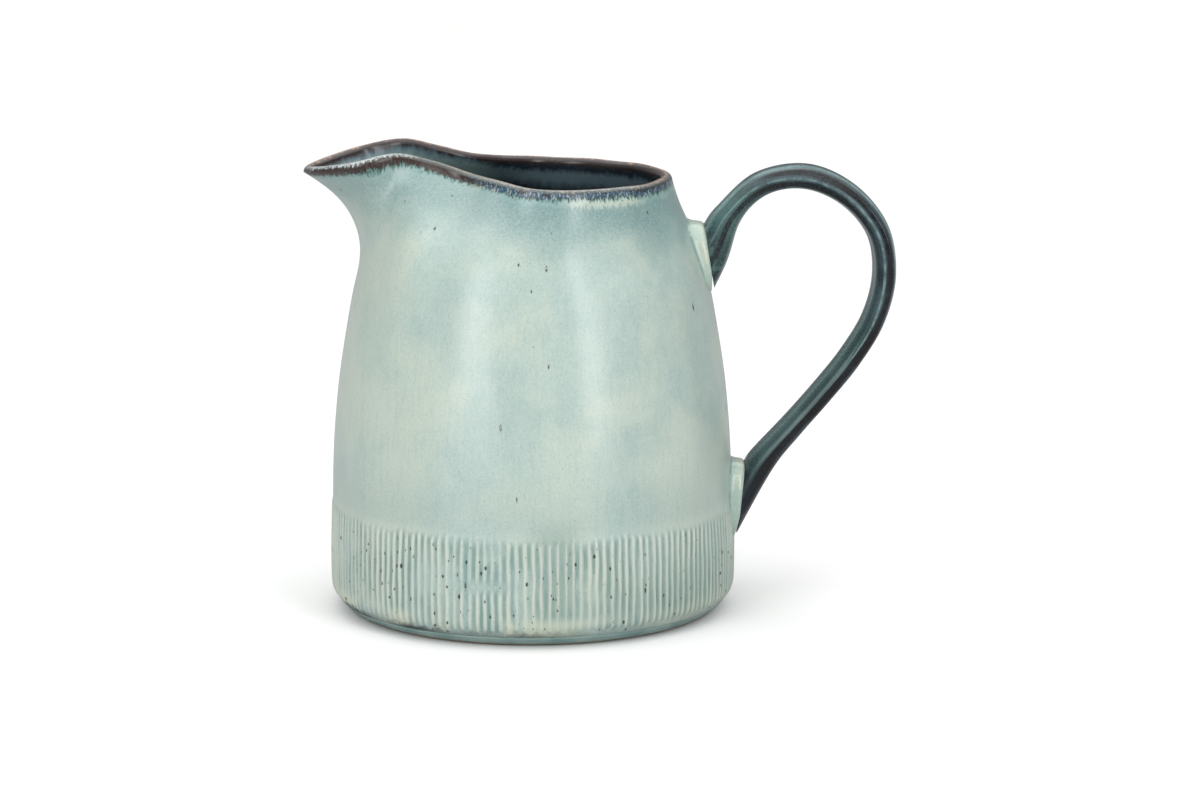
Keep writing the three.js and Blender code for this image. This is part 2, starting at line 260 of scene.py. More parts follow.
# Height and inward taper of the wall, as shares of the whole, from its seat to its top.
WALL_STATIONS = (
    (0.0, 0.121),
    (0.012, 0.066),
    (0.029, 0.016),
    (0.06, 0.001),
    (0.13, 0.0),
    (0.24, 0.022),
    (0.386, 0.055),
    (0.523, 0.135),
    (0.647, 0.262),
    (0.764, 0.42),
    (0.867, 0.652),
    (0.949, 0.893),
    (1.0, 1.0),
)

# The crest of the lip goes through one guide for every 15 degrees of the wall below it. These
# are from 90 to 150 degrees: shares of the spout's reach, of the bowl's width above the
# throat's, and of the rise to the peak.
SPOUT_GUIDES = (
    (0.01, 0.895, 0.09),
    (0.15, 0.56, 0.25),
    (0.288, 0.14, 0.44),
    (0.436, 0.015, 0.77),
    (0.596, 0.0, 1.0),
)
FLARE_GUIDE = (0.79, 0.58)  # at 165 degrees: shares of the reach, and of the peak over the tip


class Wall:
    """The jug's wall: a round profile drawn over to the crest of the lip."""

    SWELL = 2.3  # how late the wall leaves the round on its way up

    def __init__(self, sizes):
        self.sizes = sizes
        self.top = sizes.lip_height - sizes.lip_thickness / 2
        self.top_radius = sizes.crest_radius + sizes.lip_thickness / 2
        self.root = sizes.lip_height - sizes.round_below
        profile = through(WALL_STATIONS, np.linspace(0, 1, 1200))
        self.heights = mix(sizes.seat_height, self.top, profile[:, 0])
        self.radii = mix(sizes.body_radius, self.top_radius, profile[:, 1])
        self.guides = self.guide_points()

    def radius(self, height):
        return np.interp(height, self.heights, self.radii)

    def guide_points(self):
        s = self.sizes
        bowl = [
            (s.crest_radius * math.cos(a), s.crest_radius * math.sin(a), s.lip_height)
            for a in np.radians(np.arange(0, 90, 15))
        ]
        spout = [
            (
                -s.spout_reach * along,
                mix(s.throat, s.crest_radius, spread),
                s.lip_height + s.peak_rise * rise,
            )
            for along, spread, rise in SPOUT_GUIDES
        ]
        along, rise = FLARE_GUIDE
        flare = (
            -s.spout_reach * along,
            s.flare,
            s.lip_height + mix(s.tip_rise, s.peak_rise, rise),
        )
        half = [*bowl, *spout, flare]
        tip = (-s.spout_reach, 0.0, s.lip_height + s.tip_rise)
        return [*half, tip, *[(x, -y, z) for x, y, z in half[:0:-1]]]

    def crest(self, turn):
        """The crest at turns round the bowl, and the level direction out of the jug."""
        step = 0.002
        point = through(self.guides, turn, closed=True)
        ahead = through(self.guides, turn + step, closed=True)
        behind = through(self.guides, turn - step, closed=True)
        outward = np.stack([ahead[:, 1] - behind[:, 1], behind[:, 0] - ahead[:, 0]], axis=1)
        return point, outward / np.linalg.norm(outward, axis=1, keepdims=True)

    def points(self, turn, level, depth):
        """Rows of points at levels, depth 0 on the outer face and 1 on the inner one, and
        the level direction in which each may be pushed out."""
        s = self.sizes
        level = level[:, None]
        rise = np.clip((level - self.root) / (self.top - self.root), 0, None)
        radius = self.radius(level) - depth * mix(s.wall, s.lip_thickness, rise)
        top_radius = self.top_radius - depth * s.lip_thickness
        point, outward = self.crest(turn)
        side = s.lip_thickness * (0.5 - depth)
        around = np.stack([np.cos(TAU * turn), np.sin(TAU * turn)], axis=1)
        shift = point[:, :2] + side * outward - top_radius * around
        pull = (rise**self.SWELL)[..., None]
        flat = radius[..., None] * around + shift * pull
        height = level + (point[:, 2] - s.lip_height) * rise
        push = mix(around[None], outward[None], np.clip(pull, 0, 1))
        push = push / np.linalg.norm(push, axis=2, keepdims=True)
        return np.dstack([flat, height]), push

    def lip(self, turn, rolls):
        """Rows over the rounded lip. A roll is 0 at its outer edge and pi at its inner one."""
        radius = self.sizes.lip_thickness / 2
        point, outward = self.crest(turn)
        rows = []
        for roll in rolls:
            flat = point[:, :2] + outward * radius * math.cos(roll)
            rows.append(np.column_stack([flat, point[:, 2] - radius + radius * math.sin(roll)]))
        return np.array(rows)


FILLED_TURN, FILLED_HEIGHT = 0.713, 21.5 * MM  # middle of the patch where glaze fills the ribs


def rib_pattern(sizes, turn, level):
    """How far each point is up a rib (0 to 1), its share of the band, and its sideways shift."""
    random = np.random.default_rng(7)
    count = sizes.rib_count
    rib = turn * count
    place = np.arange(count + 1) % count

    def each(low, high):
        """A value for each rib, blended across the grooves."""
        return np.interp(rib, np.arange(count + 1), random.uniform(low, high, count)[place])

    strength = each(0.75, 1.1)
    top = sizes.rib_high + each(-0.9, 0.5) * MM - 0.9 * MM * np.cos(TAU * turn)
    low = sizes.rib_low + each(-0.3, 0.5) * MM
    spacing = each(-0.1, 0.1)
    swing, phase, pace = each(0.02, 0.07), each(0, TAU), each(0.8, 1.3)
    level = level[:, None]
    band = smooth(low, low + 1.6 * MM, level) * (1 - smooth(top - 3.2 * MM, top, level))
    fade = 0.86 + 0.14 * waves(turn, level, 11, (3, 5, 9, 14), 30 * MM)
    aside = turn - FILLED_TURN
    filled = np.exp(
        -((aside * TAU * sizes.body_radius / (10.5 * MM)) ** 4)
        - ((level - FILLED_HEIGHT - 18 * MM * aside) / (2.4 * MM)) ** 4
    )
    crest = np.clip(0.5 + 0.5 * np.cos(TAU * rib), 0, 1) ** 2.1
    up = crest * strength * fade * (1 - 0.95 * filled)
    shift = (spacing + swing * np.sin(TAU * pace * level / (17 * MM) + phase)) / count
    hold = smooth(sizes.rib_low - 1 * MM, sizes.rib_low + 2 * MM, level)
    hold = hold * (1 - smooth(top, top + 6 * MM, level))
    return up * band, band * (1 - 0.85 * filled), shift * hold


def build_body(sizes, colours):
    """Throws the wall: outer face with flats and ribs, rounded lip, and inner face."""
    wall = Wall(sizes)
    turn = np.arange(sizes.rib_count * 6) / (sizes.rib_count * 6)
    edge = 0.7 * MM
    seat = sizes.seat_height
    levels = np.unique(np.round(np.concatenate([
        seat + edge * np.array([0.0, 0.4, 1.0]),
        np.linspace(seat + 2 * edge, 12 * MM, 9),
        np.linspace(12 * MM, 34 * MM, 8),
        np.linspace(34 * MM, 41 * MM, 9),
        np.linspace(41 * MM, wall.root, 21),
        np.linspace(wall.root, wall.top, 22),
    ]), 6))
    outer, push = wall.points(turn, levels, 0)
    up, band, shift = rib_pattern(sizes, turn, levels)
    rise = np.clip((levels - wall.root) / (wall.top - wall.root), 0, 1)[:, None]
    level = levels[:, None]
    near_handle = bell((turn + 0.5) % 1 - 0.5, 0, 0.055)
    calm = (1 - 0.85 * near_handle) * smooth(20 * MM, 55 * MM, level) * (1 - 0.6 * rise**4)
    flats = waves(turn, level, 3, (4, 6, 7, 9, 11, 13), 150 * MM)
    flats = flats + 0.45 * waves(turn, level, 5, (8, 13, 17), 60 * MM)
    flats = flats + 0.35 * waves(turn, level, 41, (17, 21, 26), 28 * MM) * rise
    out = sizes.facet_depth * flats * calm + sizes.rib_depth * up
    out = out - 0.35 * edge * (1 - smooth(seat, seat + edge, level))
    outer[..., :2] += push * out[..., None]
    tangent = np.stack([-push[..., 1], push[..., 0]], axis=2)
    outer[..., :2] += tangent * (shift * TAU * sizes.body_radius)[..., None]

    lip = wall.lip(turn, np.linspace(0, math.pi, 11)[1:-1])

    inner_levels = np.concatenate([
        np.linspace(wall.top, wall.root, 12)[:-1],
        np.linspace(wall.root, 14 * MM, 9)[:-1],
        np.linspace(14 * MM, seat, 4),
    ])
    inner, push = wall.points(turn, inner_levels, 1)
    rings = np.sin(TAU * (inner_levels[:, None] / (7.5 * MM) + turn))
    deep = smooth(0, 25 * MM, wall.top - inner_levels)[:, None]
    inner[..., :2] += push * (0.12 * MM * rings * deep)[..., None]

    rows = np.concatenate([outer, lip, inner])
    wobble = waves(turn, 0.0, 19, (3, 5, 8, 13), 1) * 0.22 * MM
    rows[..., 2] += wobble * smooth(wall.top - 22 * MM, wall.top, rows[..., 2])

    steps = np.linalg.norm(np.diff(rows, axis=0), axis=2)
    way = np.vstack([np.zeros(len(turn)), np.cumsum(steps, axis=0)])
    crest_row = len(outer) + len(lip) // 2
    nothing = np.zeros((len(lip) + len(inner), len(turn)))
    across_lip = np.linspace(0, 1, len(lip))[:, None] * np.ones(len(turn))
    marks = {
        "rib": np.vstack([up, nothing]),
        "band": np.vstack([band, nothing]),
        "drop_mm": np.abs(way - way[crest_row]) / MM,
        "inner": np.vstack([np.zeros(outer.shape[:2]), across_lip, np.ones(inner.shape[:2])]),
    }
    points, faces = skin(rows, True)
    material = body_glaze(colours)
    return new_piece("glazed_body", points, faces, marks, material, ["jug_body"])


EDGE_SWELL = 0.55  # how soon the base disc's edge swells out on its way up


def build_base(sizes, colours):
    """Turns the base disc: a flat foot, a rounded edge, and a floor with a filleted corner."""
    wall = Wall(sizes)
    foot = sizes.body_radius - sizes.foot_inset
    edge = sizes.body_radius - sizes.edge_inset
    inside = float(wall.radius(sizes.seat_height)) - sizes.wall
    recess_radius = foot - 9 * MM
    recess = 0.6 * MM
    outline = []
    for radius in np.linspace(1.5 * MM, recess_radius, 44):
        turning = 0.07 * MM * math.sin(TAU * radius / (2.3 * MM))
        outline.append((radius, recess + turning))
    for share in np.linspace(0, 1, 5)[1:]:
        outline.append((recess_radius + 1.2 * MM * share, recess * (1 - smooth(0, 1, share))))
    outline += [(foot - 4 * MM, 0.0), (foot - 0.8 * MM, 0.0)]
    rim = 0.99 * sizes.rim_thickness
    for rise in np.linspace(0, 1, 14) ** 2:
        outline.append((mix(foot, edge, rise**EDGE_SWELL), 0.04 * MM + rim * rise))
    groove = sizes.seat_height + 0.25 * MM
    outline += [(edge + 0.02 * MM, groove - 0.35 * MM), (edge - 1.2 * MM, groove)]
    floor_row = len(outline) - 1
    fillet = 6 * MM
    outline.append((inside + 1.2 * MM, groove))
    outline.append((inside + 0.6 * MM, sizes.floor_height + fillet + 1 * MM))
    for turn in np.linspace(0, math.pi / 2, 10):
        outline.append((
            inside - 0.05 * MM - fillet * (1 - math.cos(turn)),
            sizes.floor_height + fillet * (1 - math.sin(turn)),
        ))
    floor_edge = inside - fillet
    for radius in np.linspace(floor_edge, 1.5 * MM, 40)[1:]:
        inward = floor_edge - radius
        ring = 0.14 * MM * (1 - math.cos(TAU * inward / (7 * MM)))
        outline.append((radius, sizes.floor_height - ring * smooth(0, 12 * MM, inward)))
    sides = 240
    turn = TAU * np.arange(sides) / sides
    rows = np.array([
        np.column_stack([r * np.cos(turn), r * np.sin(turn), np.full(sides, z)])
        for r, z in outline
    ])
    points, faces = skin(rows, False)
    inner = np.zeros(len(points))
    inner[floor_row * sides: len(outline) * sides] = 1
    inner[-1] = 1
    material = base_clay(colours, sizes)
    return new_piece("base", points, faces, {"inner": inner}, material, ["base_disc"])


class PadFace:
    """The flat face of a handle pad in the XZ plane."""

    def __init__(self, wall, top, bottom, standoff):
        high = np.array([wall.radius(top) + standoff, top])
        low = np.array([wall.radius(bottom) + wall.sizes.bottom_standoff, bottom])
        self.middle = (high + low) / 2
        self.length = np.linalg.norm(high - low)
        self.up = (high - low) / self.length
        self.outward = np.array([self.up[1], -self.up[0]])

    def root(self, height, sink):
        """Upper end, lower end and middle of a handle's end face, sunk into the pad."""
        middle = self.middle - self.outward * sink
        return middle + self.up * height / 2, middle - self.up * height / 2, middle


def pad_faces(wall):
    s = wall.sizes
    top, bottom = s.lip_height - s.upper_top, s.lip_height - s.upper_bottom
    return (
        PadFace(wall, top, bottom, s.upper_standoff),
        PadFace(wall, s.lower_top, s.lower_bottom, s.lower_standoff),
    )


# Rings of a pad from the middle of its face to the wall: share of its outline, and share of
# the way from its face to the wall.
PAD_RINGS = (
    (0.15, 0.0), (0.4, 0.0), (0.62, 0.0), (0.76, 0.0), (0.84, 0.01), (0.9, 0.04), (0.935, 0.1),
    (0.955, 0.18), (0.968, 0.29), (0.976, 0.41), (0.982, 0.53), (0.99, 0.65), (1.0, 0.76),
    (1.015, 0.85), (1.034, 0.92), (1.055, 0.97), (1.08, 1.0),
)


def build_pads(sizes, colours):
    """Presses the two clay pads on to the wall, with soft shoulders and a smeared skirt."""
    wall = Wall(sizes)
    material = pad_glaze(colours)
    made = []
    for seed, (name, face) in enumerate(zip(("upper", "lower"), pad_faces(wall))):
        turn = TAU * np.arange(120) / 120
        power = 2 / 2.9
        across = sizes.pad_width / 2 * np.sign(np.sin(turn)) * np.abs(np.sin(turn)) ** power
        along = face.length / 2 * np.sign(np.cos(turn)) * np.abs(np.cos(turn)) ** power
        uneven = 1 + 0.018 * waves(turn / TAU, 0.0, 31 + seed, (2, 3, 5), 1)
        rows, seam = [], []
        for share, way in PAD_RINGS:
            v = across * share * mix(1, uneven, share)
            u = along * mix(share, min(share, 0.99), along < 0) * mix(1, uneven, share)
            foot = smooth(0.3, 1.0, -2 * u / face.length)
            x = face.middle[0] + face.up[0] * u - 0.8 * MM * foot
            z = face.middle[1] + face.up[1] * u
            sunk = 0.9 * MM if way == 1.0 else 0.12 * MM * way
            base = np.sqrt(wall.radius(z) ** 2 - v**2) - sunk
            rows.append(np.column_stack([mix(x, base, way), v, z]))
            seam.append(np.full(len(turn), way))
        under = []
        for share in (0.8, 0.4):
            v, z = across * share, face.middle[1] + face.up[1] * along * share
            under.append(np.column_stack([np.sqrt(wall.radius(z) ** 2 - v**2) - 1.2 * MM, v, z]))
            seam.append(np.ones(len(turn)))
        points, faces = skin(np.array(rows + under), False)
        marks = {"seam": np.append(np.concatenate(seam), (0.0, 1.0))}
        made.append(new_piece(
            f"{name}_pad", points, faces, marks, material, [f"{name}_handle_pad"]
        ))
    return made


# The bow of the strap, at even steps along it: how far down from the upper root to the lower
# one each point belongs, its stand-off and rise from there as shares of the handle's reach
# and rise, the direction its outer side faces in degrees above +X, and its thickness as a
# share of the strap's.
BOW = (
    (0, 0.113, 0.506, 142, 1.19),
    (0, 0.314, 0.897, 117, 1.05),
    (0, 0.588, 0.99, 81, 1.07),
    (0, 0.845, 0.766, 54, 1.04),
    (0.04, 1.019, 0.447, 25, 1.02),
    (0.12, 1.048, 0.137, -3, 1.03),
    (0.25, 0.96, -0.012, -22, 1.03),
    (0.42, 0.785, 0.012, -33, 1.03),
    (0.56, 0.584, -0.006, -40, 1.01),
    (0.7, 0.375, -0.005, -41, 1.02),
    (0.82, 0.171, -0.068, -41, 1.2),
)


def strap_rails(sizes, steps):
    """The strap's outer and inner edges in the XZ plane."""
    wall = Wall(sizes)
    upper, lower = pad_faces(wall)
    sink = 0.15 * MM
    top_high, top_low, top = upper.root(sizes.upper_root, sink)
    end_high, end_low, end = lower.root(sizes.lower_root, sink)
    outer, inner = [top_high], [top_low]
    for down, off, rise, side, thick in BOW:
        centre = mix(top, end, down) + (sizes.handle_reach * off, sizes.handle_rise * rise)
        half = sizes.strap_thickness * thick / 2
        across = np.array([math.cos(side * DEG), math.sin(side * DEG)])
        outer.append(centre + across * half)
        inner.append(centre - across * half)
    outer.append(end_low)
    inner.append(end_high)
    outer, inner = through(outer, steps), through(inner, steps)
    inner[:, 0] += 1.3 * MM * bell(steps, 0.042, 0.028)
    return outer, inner


SQUARENESS = 2.6  # of the strap's section: 2 is an ellipse


def build_handle(sizes, colours):
    """Pulls the strap: rounded section, a ridge and two flutes down each side."""
    steps = np.linspace(0, 1, 261)
    outer, inner = strap_rails(sizes, steps)
    sides = 120
    turn = TAU * np.arange(sides) / sides

    def bulge(value):
        return np.sign(value) * np.abs(value) ** (2 / SQUARENESS)

    across = 0.5 - 0.5 * bulge(np.cos(turn))
    wide = bulge(np.sin(turn))
    ends = np.abs(2 * steps - 1) ** 4
    width = mix(sizes.strap_width, sizes.root_width, ends)[:, None]
    shares = steps[:, None]
    place = 2 * across - 1
    lower_arm = smooth(0.5, 0.75, shares)
    ridge_at = mix(-0.36, 0.12, smooth(0.0, 0.42, shares)) + 0.03 * np.sin(TAU * 1.3 * shares)
    ridge = bell(place, ridge_at, mix(0.2, 0.06, lower_arm))
    outer_flute = bell(place, ridge_at - mix(0.5, 0.3, lower_arm), mix(0.2, 0.24, lower_arm))
    inner_flute = bell(place, ridge_at + 0.46, 0.2)
    outer_flute = outer_flute * smooth(0.12, 0.24, shares) * (1 - smooth(0.93, 0.99, shares))
    inner_flute = inner_flute * mix(1.0, 0.25, smooth(0.2, 0.5, shares))
    flute = outer_flute + inner_flute
    sideways = smooth(0.5, 0.95, np.abs(wide)) * (1 - 0.6 * ends[:, None])
    uneven = 1 + 0.3 * np.sin(TAU * 3.7 * shares + 1) * np.sin(TAU * 1.9 * shares)
    relief = sizes.ridge_height * (ridge - 0.95 * flute) * uneven
    y = -width / 2 * wide - np.sign(wide) * relief * sideways
    thick = np.linalg.norm(outer - inner, axis=1)[:, None]
    facing = smooth(0.6, 1.0, np.abs(place)) * (1 - 0.7 * ends[:, None])
    channel = bell(np.abs(wide), 0.5, 0.2)
    dent = 0.28 * MM * channel * facing * np.sign(place) / thick
    x = mix(outer[:, :1], inner[:, :1], across - dent)
    z = mix(outer[:, 1:], inner[:, 1:], across - dent)
    rows = np.stack([x, y, z], axis=2)
    edges = smooth(0.74, 0.95, np.abs(place)) * smooth(0.15, 0.5, np.abs(wide))
    from_root = np.minimum(shares, 1 - shares)
    points, faces = skin(rows, False)

    def ends_too(values):
        values = np.broadcast_to(values, rows.shape[:2]).astype(float)
        return np.append(values.ravel(), (0.0, 0.0))

    marks = {
        "ridge": ends_too(ridge * sideways),
        "edge": ends_too(edges),
        "flute": ends_too(flute * sideways),
        "outside": ends_too(place < ridge_at - 0.05),
        "root": ends_too(1 - smooth(0.0, 0.11, from_root)),
        "along": ends_too(shares),
    }
    material = handle_glaze(colours)
    return new_piece("strap_handle", points, faces, marks, material, ["handle"])


# ---- Materials -------------------------------------------------------------------------


class Nodes:
    """Adds nodes to one tree. Each call returns the new node's output."""

    def __init__(self, tree):
        self.tree = tree

    def add(self, kind, inputs=None, output=0, **settings):
        node = self.tree.nodes.new(kind)
        for name, value in settings.items():
            setattr(node, name, value)
        for name, value in (inputs or {}).items():
            self.feed(node.inputs[name], value)
        return node.outputs[output]

    def feed(self, socket, value):
        if isinstance(value, bpy.types.NodeSocket):
            self.tree.links.new(value, socket)
        elif socket.type == "RGBA":
            socket.default_value = (*value[:3], 1)
        else:
            socket.default_value = value

    def math(self, operation, *values):
        return self.add("ShaderNodeMath", dict(enumerate(values)), operation=operation)

    def times(self, *values):
        return self.math("MULTIPLY", *values)

    def times_plus(self, value, factor, more):
        return self.math("MULTIPLY_ADD", value, factor, more)

    def rest(self, share):
        """What a share leaves of the whole."""
        return self.math("SUBTRACT", 1.0, share)

    def span(self, value, low, high, start=0.0, end=1.0):
        """Value carried from low..high to start..end, smoothly, and held at both ends."""
        inputs = {"Value": value, 1: low, 2: high, 3: start, 4: end}
        return self.add("ShaderNodeMapRange", inputs, interpolation_type="SMOOTHSTEP")

    def blend(self, share, a, b, kind="MIX"):
        inputs = {0: share, 6: a, 7: b}
        return self.add(
            "ShaderNodeMix", inputs, 2, data_type="RGBA", blend_type=kind, clamp_factor=True
        )

    def scaled(self, vector, x, y, z):
        return self.add("ShaderNodeMapping", {"Vector": vector, "Scale": (x, y, z)})

    def noise(self, vector, size, detail=2.0, roughness=0.5, distortion=0.0):
        inputs = {
            "Vector": vector, "Scale": 1 / size, "Detail": detail, "Roughness": roughness,
            "Distortion": distortion,
        }
        return self.add("ShaderNodeTexNoise", inputs)

    def mark(self, name):
        """A value that the mesh carries at each point."""
        return self.add("ShaderNodeAttribute", None, "Fac", attribute_name=name)

    def ramp(self, value, stops):
        """Colours at places from 0 to 1."""
        out = self.add("ShaderNodeValToRGB", {"Fac": value})
        elements = out.node.color_ramp.elements
        for i, (place, tint) in enumerate(stops):
            if i >= len(elements):
                elements.new(place)
            elements[i].position = place
            elements[i].color = (*tint[:3], 1)
        return out

    def group(self, tree, inputs):
        node = self.tree.nodes.new("ShaderNodeGroup")
        node.node_tree = tree
        for name, value in inputs.items():
            self.feed(node.inputs[name], value)
        return node.outputs


def node_group(name, inputs, outputs):
    """An empty shader group, and the sockets of its inputs and outputs."""
    tree = bpy.data.node_groups.new(name, "ShaderNodeTree")
    for label, kind, value in inputs:
        socket = tree.interface.new_socket(label, in_out="INPUT", socket_type=f"NodeSocket{kind}")
        if value is not None:
            socket.default_value = value
    for label, kind in outputs:
        tree.interface.new_socket(label, in_out="OUTPUT", socket_type=f"NodeSocket{kind}")
    return tree, tree.nodes.new("NodeGroupInput").outputs, tree.nodes.new("NodeGroupOutput").inputs


def clouds_group():
    """Large clouds, fine grain and vertical runs of a reactive glaze."""
    if "Glaze clouds" in bpy.data.node_groups:
        return bpy.data.node_groups["Glaze clouds"]
    tree, given, result = node_group(
        "Glaze clouds",
        [("Vector", "Vector", None), ("Cloud Size", "Float", 0.03), ("Run Length", "Float", 0.02)],
        [("Clouds", "Float"), ("Patches", "Float"), ("Grain", "Float"), ("Runs", "Float")],
    )
    n = Nodes(tree)
    large = n.math("DIVIDE", 1.0, given["Cloud Size"])
    cloud = n.add("ShaderNodeTexNoise", {
        "Vector": given["Vector"], "Scale": large, "Detail": 3.0, "Roughness": 0.5,
        "Distortion": 0.4,
    })
    n.feed(result["Clouds"], n.span(cloud, 0.36, 0.64))
    small = n.add("ShaderNodeTexNoise", {
        "Vector": given["Vector"], "Scale": n.times(large, 3.3), "Detail": 4.0,
        "Roughness": 0.6,
    })
    n.feed(result["Patches"], n.span(small, 0.34, 0.66))
    grain = n.noise(given["Vector"], 0.9 * MM, 3.0, 0.75)
    n.feed(result["Grain"], n.span(grain, 0.3, 0.7))
    squeeze = n.math("DIVIDE", 1.3 * MM, given["Run Length"])
    flat = n.add("ShaderNodeCombineXYZ", {"X": 1.0, "Y": 1.0, "Z": squeeze})
    place = n.add(
        "ShaderNodeVectorMath", {0: given["Vector"], 1: flat}, operation="MULTIPLY"
    )
    n.feed(result["Runs"], n.span(n.noise(place, 1.3 * MM, 2.0, 0.6), 0.3, 0.7))
    return tree


def specks_group():
    """Small round or drawn-out specks, scattered at random."""
    if "Iron specks" in bpy.data.node_groups:
        return bpy.data.node_groups["Iron specks"]
    tree, given, result = node_group(
        "Iron specks",
        [
            ("Vector", "Vector", None), ("Spacing", "Float", 0.004), ("Radius", "Float", 0.0003),
            ("Share", "Float", 0.5), ("Stretch", "Float", 1.0),
        ],
        [("Mask", "Float")],
    )
    n = Nodes(tree)
    tall = n.math("DIVIDE", 1.0, given["Stretch"])
    flat = n.add("ShaderNodeCombineXYZ", {"X": 1.0, "Y": 1.0, "Z": tall})
    place = n.add("ShaderNodeVectorMath", {0: given["Vector"], 1: flat}, operation="MULTIPLY")
    scale = n.math("DIVIDE", 1.0, given["Spacing"])
    cell = n.add("ShaderNodeTexVoronoi", {"Vector": place, "Scale": scale}, "Distance")
    pick = n.add("ShaderNodeSeparateColor", {"Color": cell.node.outputs["Color"]})
    chosen = n.math("LESS_THAN", pick, given["Share"])
    size = n.times(given["Radius"], n.math("ADD", 0.5, pick.node.outputs[1]))
    reach = n.times(size, scale)
    rough = n.times_plus(n.noise(given["Vector"], 0.35 * MM, 1.0), 0.7, 0.65)
    near = n.math("DIVIDE", n.times(cell, rough), reach)
    n.feed(result["Mask"], n.times(chosen, n.span(near, 0.55, 1.0, 1.0, 0.0)))
    return tree


def kiln_surface_group():
    """The skin of a fired glaze: faint orange peel, and what stands up or pools."""
    if "Kiln surface" in bpy.data.node_groups:
        return bpy.data.node_groups["Kiln surface"]
    tree, given, result = node_group(
        "Kiln surface",
        [("Vector", "Vector", None), ("Peel Depth", "Float", 0.00002), ("Raised", "Float", 0.0)],
        [("Normal", "Vector")],
    )
    n = Nodes(tree)
    peel = n.noise(given["Vector"], 2.6 * MM, 2.0, 0.45)
    fine = n.noise(given["Vector"], 0.5 * MM, 1.0)
    height = n.times_plus(fine, 0.12, peel)
    height = n.times_plus(height, given["Peel Depth"], given["Raised"])
    bump = n.add("ShaderNodeBump", {"Strength": 1.0, "Distance": 1.0, "Height": height})
    n.feed(result["Normal"], bump)
    return tree


def glaze_clouds(n, place, cloud_size, run_length):
    inputs = {"Vector": place, "Cloud Size": cloud_size, "Run Length": run_length}
    return n.group(clouds_group(), inputs)


def iron_specks(n, place, spacing, radius, share, stretch):
    """A mask of specks, with their spacing and radius in millimetres."""
    inputs = {
        "Vector": place, "Spacing": spacing * MM, "Radius": radius * MM, "Share": share,
        "Stretch": stretch,
    }
    return n.group(specks_group(), inputs)["Mask"]


def new_material(name):
    """A material with an empty Principled shader, its nodes, and its object coordinates."""
    material = bpy.data.materials.new(name)
    material.use_nodes = True
    shader = next(x for x in material.node_tree.nodes if x.type == "BSDF_PRINCIPLED")
    nodes = Nodes(material.node_tree)
    return material, shader, nodes, nodes.add("ShaderNodeTexCoord", None, "Object")


def fire(n, shader, place, tint, dullness, peel, raised=0.0, coat=(0.0, 0.03)):
    """Wires a finish into its shader. Its orange peel is peel millimetres deep, and the coat
    is the weight and roughness of a clear layer over it."""
    n.feed(shader.inputs["Base Color"], tint)
    n.feed(shader.inputs["Roughness"], dullness)
    inputs = {"Vector": place, "Peel Depth": peel * MM, "Raised": raised}
    n.feed(shader.inputs["Normal"], n.group(kiln_surface_group(), inputs)["Normal"])
    shader.inputs["Coat Weight"].default_value, shader.inputs["Coat Roughness"].default_value = coat


